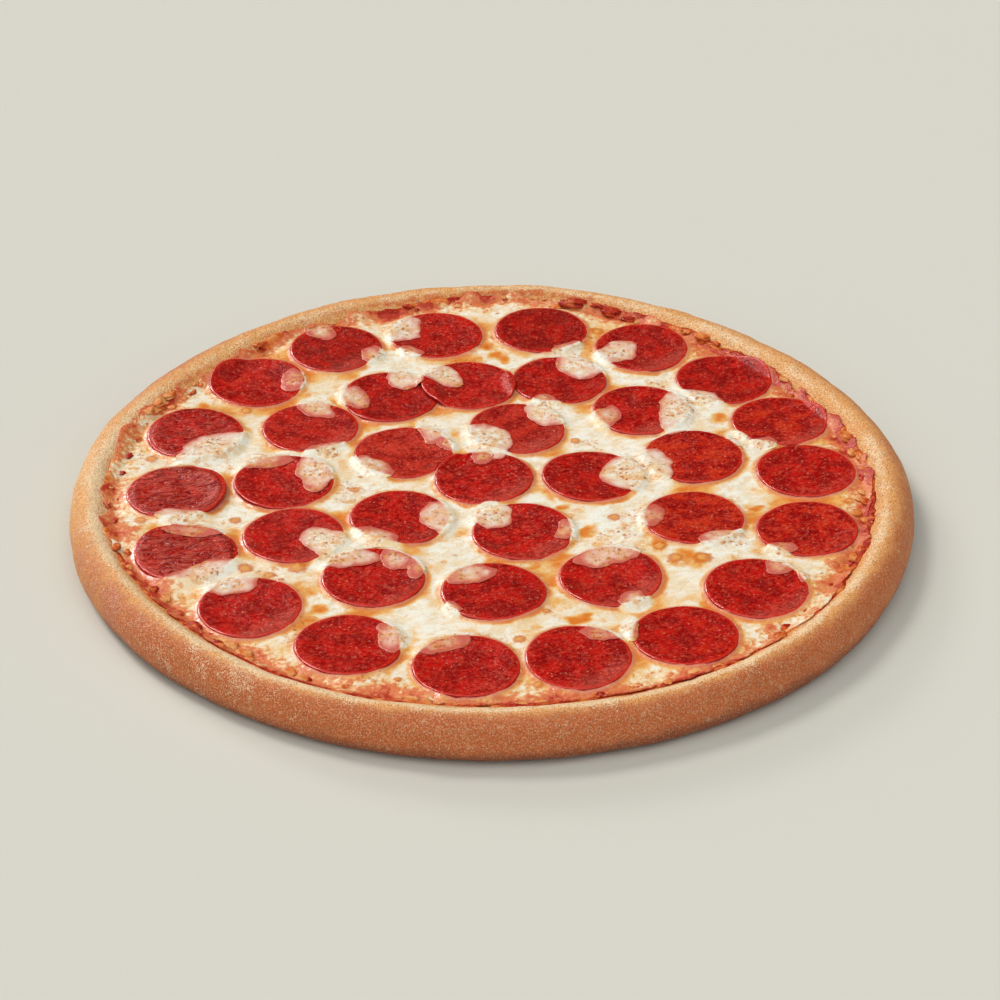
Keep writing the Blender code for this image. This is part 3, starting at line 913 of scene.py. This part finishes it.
def cheeseMaterial():
    material, shader, place = newMaterial("moltenCheese", **{
        "Specular IOR Level": 0.35, "Coat Roughness": 0.06,
        "Subsurface Weight": 0.1, "Subsurface Radius": (1.0, 0.6, 0.3), "Subsurface Scale": 1.6 * mm})
    grease, thin, brown, blister, pink, lip = layers(
        place, "grease", "thin", "brown", "blister", "pink", "lip")
    broad = noise(place, 14 * mm, 3)
    middling = noise(place, 5 * mm, 3, 0.5, 0.4)
    streak = noise(stretched(place, 2.2, 28), 3.2 * mm, 3, 0.55, 0.6)
    fine = noise(place, 1.4 * mm, 3, 0.6)
    mottle = noise(place, 2.6 * mm, 3, 0.6, 0.3)
    greased = grease + 0.7 * (middling - 0.5) + 0.4 * (fine - 0.5)
    edgy = thin + 1.5 * (mottle - 0.5) + 0.5 * (fine - 0.5)
    edgier = edgy + 0.4 * (broad - 0.5)
    blistered = blister + 0.7 * (fine - 0.5) + 0.4 * (mottle - 0.5)
    cluster = between(brown + 2.2 * (noise(place, 5 * mm, 2) - 0.5), 0.45, 1.0)
    specks = dots(place, 2.4 * mm, 0.14, 0.5, 0.4, 0.6, 0.7 * (fine - 0.5))
    specks = specks + dots(place, 1.3 * mm, 0.15, 0.45, 0.6, 0.75, 0.4 * (fine - 0.5))
    colour = painted(
        cheese, "milky",
        (between(streak + 0.8 * (middling - 0.5), 0.25, 0.6), "cream"),
        (between(broad + 0.6 * (middling - 0.5), 0.5, 0.75) * 0.5, "butter"),
        (between(greased, 0.1, 0.6) * 0.9, "butter"),
        (between(greased + 0.8 * (streak - 0.5), 0.28, 0.95) * 0.95, "oily"),
        (between(edgy, 0.1, 0.55) * 0.7, "butter"),
        (between(edgier, 0.35, 0.75) * 0.95, "rosy"),
        (between(edgier, 0.8, 1.2), "red"),
        (between(pink + 0.35 * (fine - 0.5), 0.1, 0.9) * 0.85, "pink"),
        (between(pink + 0.3 * (fine - 0.5), 0.6, 1.05) * 0.8, "seen"),
        (between(blistered, 0.05, 0.5) * 0.85, "blistered"),
        (between(blistered, 0.55, 0.95) * 0.8, "blisterMiddle"),
        (cluster * between(mottle, 0.42, 0.6) * 0.7, "toasted"),
        (cluster * specks * 0.75, "brown"))
    relief = bump(streak, 0.35 * mm)
    relief = bump(fine, 0.25 * mm, relief)
    relief = bump(mottle * between(thin, 0.1, 0.7), 0.5 * mm, relief)
    dull = 0.2 + 0.3 * between(fine, 0.35, 0.75) + 0.2 * between(thin, 0.2, 0.8)
    feed(shader, colour=colour, roughness=dull, normal=relief,
         coat=0.04 + 0.96 * between(lip, 0.1, 0.9))
    return material


def makeCheese(material):
    startFresh()
    side = 2 * (form["footRadius"] + 8 * mm)
    count = int(side / cheese["spacing"])
    bpy.ops.mesh.primitive_grid_add(
        x_subdivisions=count, y_subdivisions=count, size=side, location=(0, 0, 0))
    piece = bpy.context.object
    piece.name = piece.data.name = "moltenSheet"
    x, y, z = pointsOf(piece).T
    bearing = np.arctan2(y, x)
    edge = bakedRadius(cheeseEdgeAt(bearing), bearing)
    outside = facesOf(piece, np.hypot(x, y) > edge)
    editFaces(piece, outside)
    bpy.ops.mesh.delete(type="FACE")
    bpy.ops.object.mode_set(mode="OBJECT")

    x, y, z = pointsOf(piece).T  # what still reaches past the ragged edge is drawn back to it
    bearing = np.arctan2(y, x)
    radius = np.minimum(np.hypot(x, y), bakedRadius(cheeseEdgeAt(bearing), bearing))
    x, y = radius * np.cos(bearing), radius * np.sin(bearing)
    putPoints(piece, np.column_stack((x, y, z)))
    hidden = np.zeros(len(x), bool)  # what lies deep under a slice becomes one face
    for disc in slices:
        hidden |= disc.away(x, y) < -cheese["hiddenDepth"]
    editFaces(piece, facesOf(piece, hidden))
    bpy.ops.mesh.dissolve_faces()

    bpy.context.tool_settings.mesh_select_mode = (False, True, False)
    bpy.ops.mesh.select_all(action="DESELECT")
    bpy.ops.mesh.select_non_manifold(extend=False, use_wire=False, use_boundary=True, use_multi_face=False,
                                     use_non_contiguous=False, use_verts=False)
    for _ in range(2):
        bpy.ops.mesh.extrude_edges_move(TRANSFORM_OT_translate={"value": (0, 0, -1 * mm)})
    bpy.ops.transform.resize(value=(0.94, 0.94, 1), center_override=(0, 0, 0))
    bpy.ops.mesh.edge_face_add()
    bpy.ops.mesh.select_all(action="SELECT")
    bpy.ops.mesh.normals_make_consistent(inside=False)
    bpy.ops.object.mode_set(mode="OBJECT")

    x, y, z = pointsOf(piece).T
    bearing = np.arctan2(y, x)
    turned = turnedRadius(np.hypot(x, y), bearing)
    cover = coverAt(x, y)
    draped, away = drapedTop(x, y)
    away = np.maximum(away, 0)
    lip = (1 - cover) * np.exp(-away / cheese["lipWidth"])
    top = cheeseTopAt(x, y) + cheese["lip"] * lip + cheese["blisterHeight"] * spots(x, y, blisters)
    top = top + cover * (np.maximum(top, draped + 0.55 * patchForm["thickness"]) - top)
    under = bakedHeight(sauceTop(turned), bearing)
    for disc in slices:
        inside = -disc.away(x, y)
        sunk = smoothStep((inside - 0.4 * mm) / (1.2 * mm))
        top = top + sunk * (np.minimum(top, disc.underside(x, y) - 0.2 * mm) - top)
        deep = smoothStep((inside - 1.6 * mm) / (1.3 * mm))
        top = top + deep * (np.minimum(top, under + 0.4 * mm) - top)
    bottom = under + np.where(z > -1.5 * mm, -0.2 * mm, 0.1 * mm)  # its outer ring, then its inner one
    putPoints(piece, np.column_stack((x, y, np.where(z > -0.5 * mm, top, bottom))))
    pink = 0.8 * (1 - cover) * np.exp(-away / (1.7 * mm))
    paintPoints(piece, pink=pink, lip=lip, **cheeseTones(x, y))
    finishPiece(piece, material, "cheese", "cheese")


# Melted cheese on the slices

def patchOf(master, shape, name, place, number):
    middleX, middleY, length, width, turn = place
    piece = copyOf(master, name)
    x, y, z = shape.T
    angle = np.arctan2(y, x)
    share = np.hypot(x, y) / mm
    scallops = np.sin(2 * angle + 1.7 * number) + np.sin(3 * angle + 2.9 * number)
    scallops = scallops + 0.7 * np.sin(5 * angle + 4.1 * number)
    out = share * (1 + patchForm["scallop"] * scallops / 1.6)
    length, width = length * patchForm["spread"] * mm, width * patchForm["spread"] * mm
    alongIt, acrossIt = out * length * np.cos(angle), out * width * np.sin(angle)
    x = middleX * mm + alongIt * cos(radians(turn)) - acrossIt * sin(radians(turn))
    y = middleY * mm + alongIt * sin(radians(turn)) + acrossIt * cos(radians(turn))
    lobes = patchForm["lobes"] * share ** 2
    x, y = x + lobes * layeredNoise(x, y, 5 * mm, 83), y + lobes * layeredNoise(x, y, 5 * mm, 87)

    draped, nearest = drapedTop(x, y)
    over = smoothStep((0.6 * mm - nearest) / (2.4 * mm))
    thickness = patchForm["thickness"]
    sink = smoothStep((nearest - 0.5 * mm) / (2.4 * mm)) * 0.45 * mm
    sink = sink + smoothStep((nearest - 2.2 * mm) / (2 * mm)) * thickness
    ripple = 0.35 * mm * layeredNoise(x, y, 4.5 * mm, 81) * np.where(z > 0.3 * mm, 1, 0) * (1 - share ** 4)
    putPoints(piece, np.column_stack((x, y, draped + z / mm * thickness - sink + ripple)))
    inward = (1 - share) * width
    tones = cheeseTones(x, y)
    for tone in ("grease", "thin", "blister"):
        tones[tone] = tones[tone] * (1 - over)
    edge = np.exp(-inward / (2.6 * mm)) + 0.3 * layeredNoise(x, y, 3.5 * mm, 89)
    small = smoothStep((9 * mm - width) / (4 * mm))
    pink = over * (0.2 + 0.4 * small + 0.8 * edge)
    paintPoints(piece, pink=pink, lip=0.3 * np.exp(-inward / (1 * mm)), **tones)
    return piece


def makePatches(material):
    rings, segments = patchForm["rings"], patchForm["segments"]
    section = [(0.1, 0.0), (0.35, 0.0), (0.6, 0.0), (0.82, 0.0)]
    section += [(0.96, 0.0), (0.995, 0.04), (1.0, 0.14), (0.99, 0.28), (0.97, 0.4), (0.94, 0.5)]
    section += [(0.94 * (1 - i / rings), 0.5 + 0.5 * sin(pi / 2 * i / rings)) for i in range(1, rings)]
    master = turnedPiece("patch", [(share * mm, level * mm) for share, level in section], segments)
    shape = pointsOf(master)
    for number, place in enumerate(patches, 1):
        piece = patchOf(master, shape, "meltedPatch_%02d" % number, place, number)
        finishPiece(piece, material, "cheese", "cheese_patch_%02d" % number)
    small = [patchOf(master, shape, "scrap", place, 30 + i) for i, place in enumerate(scraps)]
    finishPiece(joined(small, "meltedScraps"), material, "cheese")
    bpy.data.objects.remove(master)


# Floor, light and camera

studio = {
    "floor": srgb(216, 214, 202),
    "floorShade": srgb(210, 208, 196),
    "floorSize": 60,
    "skyStrength": 0.05,
    "warm": (1, 0.95, 0.93),
    "cool": (0.943, 0.984, 1),
    "lamps": {  # where each comes from, its strength, how wide it looks in degrees, and its tint
        "backLeft": ((-0.62, 0.55, 1.05), 1.15, 18, "warm"),
        "lowBack": ((-0.5155, 0.736, 0.438), 0.6, 30, "warm"),
        "glint": ((-0.5155, 0.736, 0.438), 0.5, 11, "warm"),
        "frontLeft": ((-0.7, -0.8, 0.9), 1.03, 70, "cool"),
        "frontRight": ((0.8, -0.7, 0.8), 0.83, 70, "cool"),
        "overhead": ((0.1, -0.2, 1), 0.555, 60, "cool"),
    },
    "elevation": 32.03,
    "distance": 1.3898,
    "target": (3.4 * mm, 15.0 * mm, 0),
    "lens": 116.5,
}


def makeStudio():
    startFresh()
    bpy.ops.mesh.primitive_plane_add(size=studio["floorSize"], location=(0, 0, -0.05 * mm))
    floor = bpy.context.object
    floor.name = "floor"
    bpy.ops.object.transform_apply(location=True, rotation=False, scale=False)
    material, shader, place = newMaterial("paleFloor", **{"Roughness": 0.9, "Specular IOR Level": 0.1})
    feed(shader, colour=painted(studio, "floor", (noise(place, 40 * mm, 2) * 0.05, "floorShade")))
    floor.data.materials.append(material)

    world = bpy.data.worlds.new("studio")
    world.use_nodes = True
    world.node_tree.nodes["Background"].inputs["Color"].default_value = (1, 1, 1, 1)
    world.node_tree.nodes["Background"].inputs["Strength"].default_value = studio["skyStrength"]
    bpy.context.scene.world = world

    for name, (source, strength, width, tint) in studio["lamps"].items():
        lamp = bpy.data.lights.new(name, "SUN")
        lamp.energy = strength
        lamp.color = studio[tint]
        lamp.angle = radians(width)
        light = bpy.data.objects.new(name, lamp)
        light.rotation_euler = Vector(source).to_track_quat("Z", "Y").to_euler()
        bpy.context.collection.objects.link(light)

    tilt, distance = radians(studio["elevation"]), studio["distance"]
    lens = bpy.data.cameras.new("camera")
    lens.lens = studio["lens"]
    lens.clip_end = 100
    camera = bpy.data.objects.new("camera", lens)
    targetX, targetY, targetZ = studio["target"]
    camera.location = (targetX, targetY - distance * cos(tilt), targetZ + distance * sin(tilt))
    camera.rotation_euler = (pi / 2 - tilt, 0, 0)
    bpy.context.collection.objects.link(camera)
    bpy.context.scene.camera = camera
    bpy.context.scene.view_settings.view_transform = "Standard"


makeStudio()
print("studio ready")
makeCrust()
print("crust ready")
slices = []  # in the order in which they were laid
for number, name in enumerate(order):
    slices.append(Slice(name, number))
makeSlices()
print("slices ready")
sauceFinish = sauceMaterial()
makeSauce(sauceFinish)
makeLumps(sauceFinish)
print("sauce ready")
cheeseFinish = cheeseMaterial()
makeCheese(cheeseFinish)
print("cheese ready")
makePatches(cheeseFinish)
print("patches ready")

bpy.context.view_layer.update()
